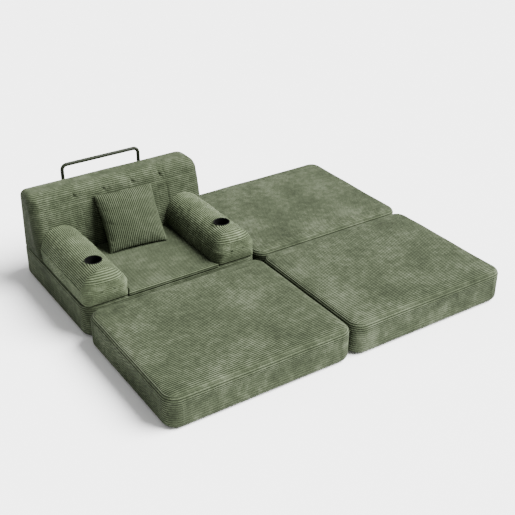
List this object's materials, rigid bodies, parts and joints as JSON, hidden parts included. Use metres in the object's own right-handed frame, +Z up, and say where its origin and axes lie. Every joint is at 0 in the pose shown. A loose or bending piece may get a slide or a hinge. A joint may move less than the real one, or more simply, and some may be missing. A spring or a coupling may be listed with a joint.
{
  "type": "chair bed",
  "caption": "Low foam chair in corduroy with armrests, cup holders, a leaning backrest and fold-out pads, laid out flat as a double bed.",
  "frame": {"origin": "on the floor under the middle of the whole bed, on the fold line of the pads", "axes": "+X along the bed's longer side, from the chair to the side pads; +Y towards the backrest; +Z up"},
  "size_m": [2.085, 1.752, 0.607],
  "materials": {
    "cover": "soft corduroy",
    "core": "foam",
    "tape": "hook and loop",
    "zip": "coil zip",
    "web": "woven",
    "cup": "satin black",
    "tube": "black powder coat",
    "plug": "black",
    "thread": "twine"
  },
  "bodies": {
    "base": {"base_cover": "cover", "base_core": "core", "base_loop_tapes": "tape", "base_zip": "zip", "seat_cushion_cover": "cover", "seat_cushion_core": "core", "front_hinge_web_base": "web"},
    "front_pad": {"front_pad_cover": "cover", "front_pad_core": "core", "front_pad_zip": "zip", "front_hinge_web_pad": "web"},
    "side_pad": {"side_pad_cover": "cover", "side_pad_core": "core", "side_pad_zip": "zip", "side_hinge_web_front": "web"},
    "rear_pad": {"rear_pad_cover": "cover", "rear_pad_core": "core", "rear_pad_zip": "zip", "side_hinge_web_rear": "web"},
    "left_arm": {"left_arm_cover": "cover", "left_arm_core": "core", "left_arm_hook_tape": "tape", "left_cup_holder": "cup"},
    "right_arm": {"right_arm_cover": "cover", "right_arm_core": "core", "right_arm_hook_tape": "tape", "right_cup_holder": "cup"},
    "backrest": {"backrest_cover": "cover", "backrest_core": "core", "backrest_hook_tape": "tape", "backrest_zip": "zip", "tuft_ties": "thread"},
    "frame": {"back_frame": "tube", "frame_end_plugs": "plug"},
    "pillow": {"pillow_cover": "cover", "pillow_filling": "core"}
  },
  "joints": [
    {"name": "front_pad_fold", "type": "hinge", "parent": "base", "child": "front_pad", "pos_m": [-0.5175, 0, 0.1872], "axis": [-1, 0, 0], "range_deg": [0, 90]},
    {"name": "side_unit_slide", "type": "slide", "parent": "base", "child": "side_pad", "axis": [1, 0, 0], "range_m": [0, 0.5]},
    {"name": "rear_pad_fold", "type": "hinge", "parent": "side_pad", "child": "rear_pad", "pos_m": [0.528, 0, 0.1874], "axis": [1, 0, 0], "range_deg": [0, 180]},
    {"name": "left_arm_lift", "type": "slide", "parent": "base", "child": "left_arm", "axis": [0, 0, 1], "range_m": [0, 0.3]},
    {"name": "right_arm_lift", "type": "slide", "parent": "base", "child": "right_arm", "axis": [0, 0, 1], "range_m": [0, 0.3]},
    {"name": "backrest_lift", "type": "slide", "parent": "base", "child": "backrest", "axis": [0, 0.309, 0.9511], "range_m": [0, 0.3]},
    {"name": "back_frame_pull", "type": "slide", "parent": "backrest", "child": "frame", "axis": [0, 1, 0], "range_m": [0, 0.3]},
    {"name": "pillow_lift", "type": "slide", "parent": "base", "child": "pillow", "axis": [0, 0, 1], "range_m": [0, 0.3]}
  ]
}
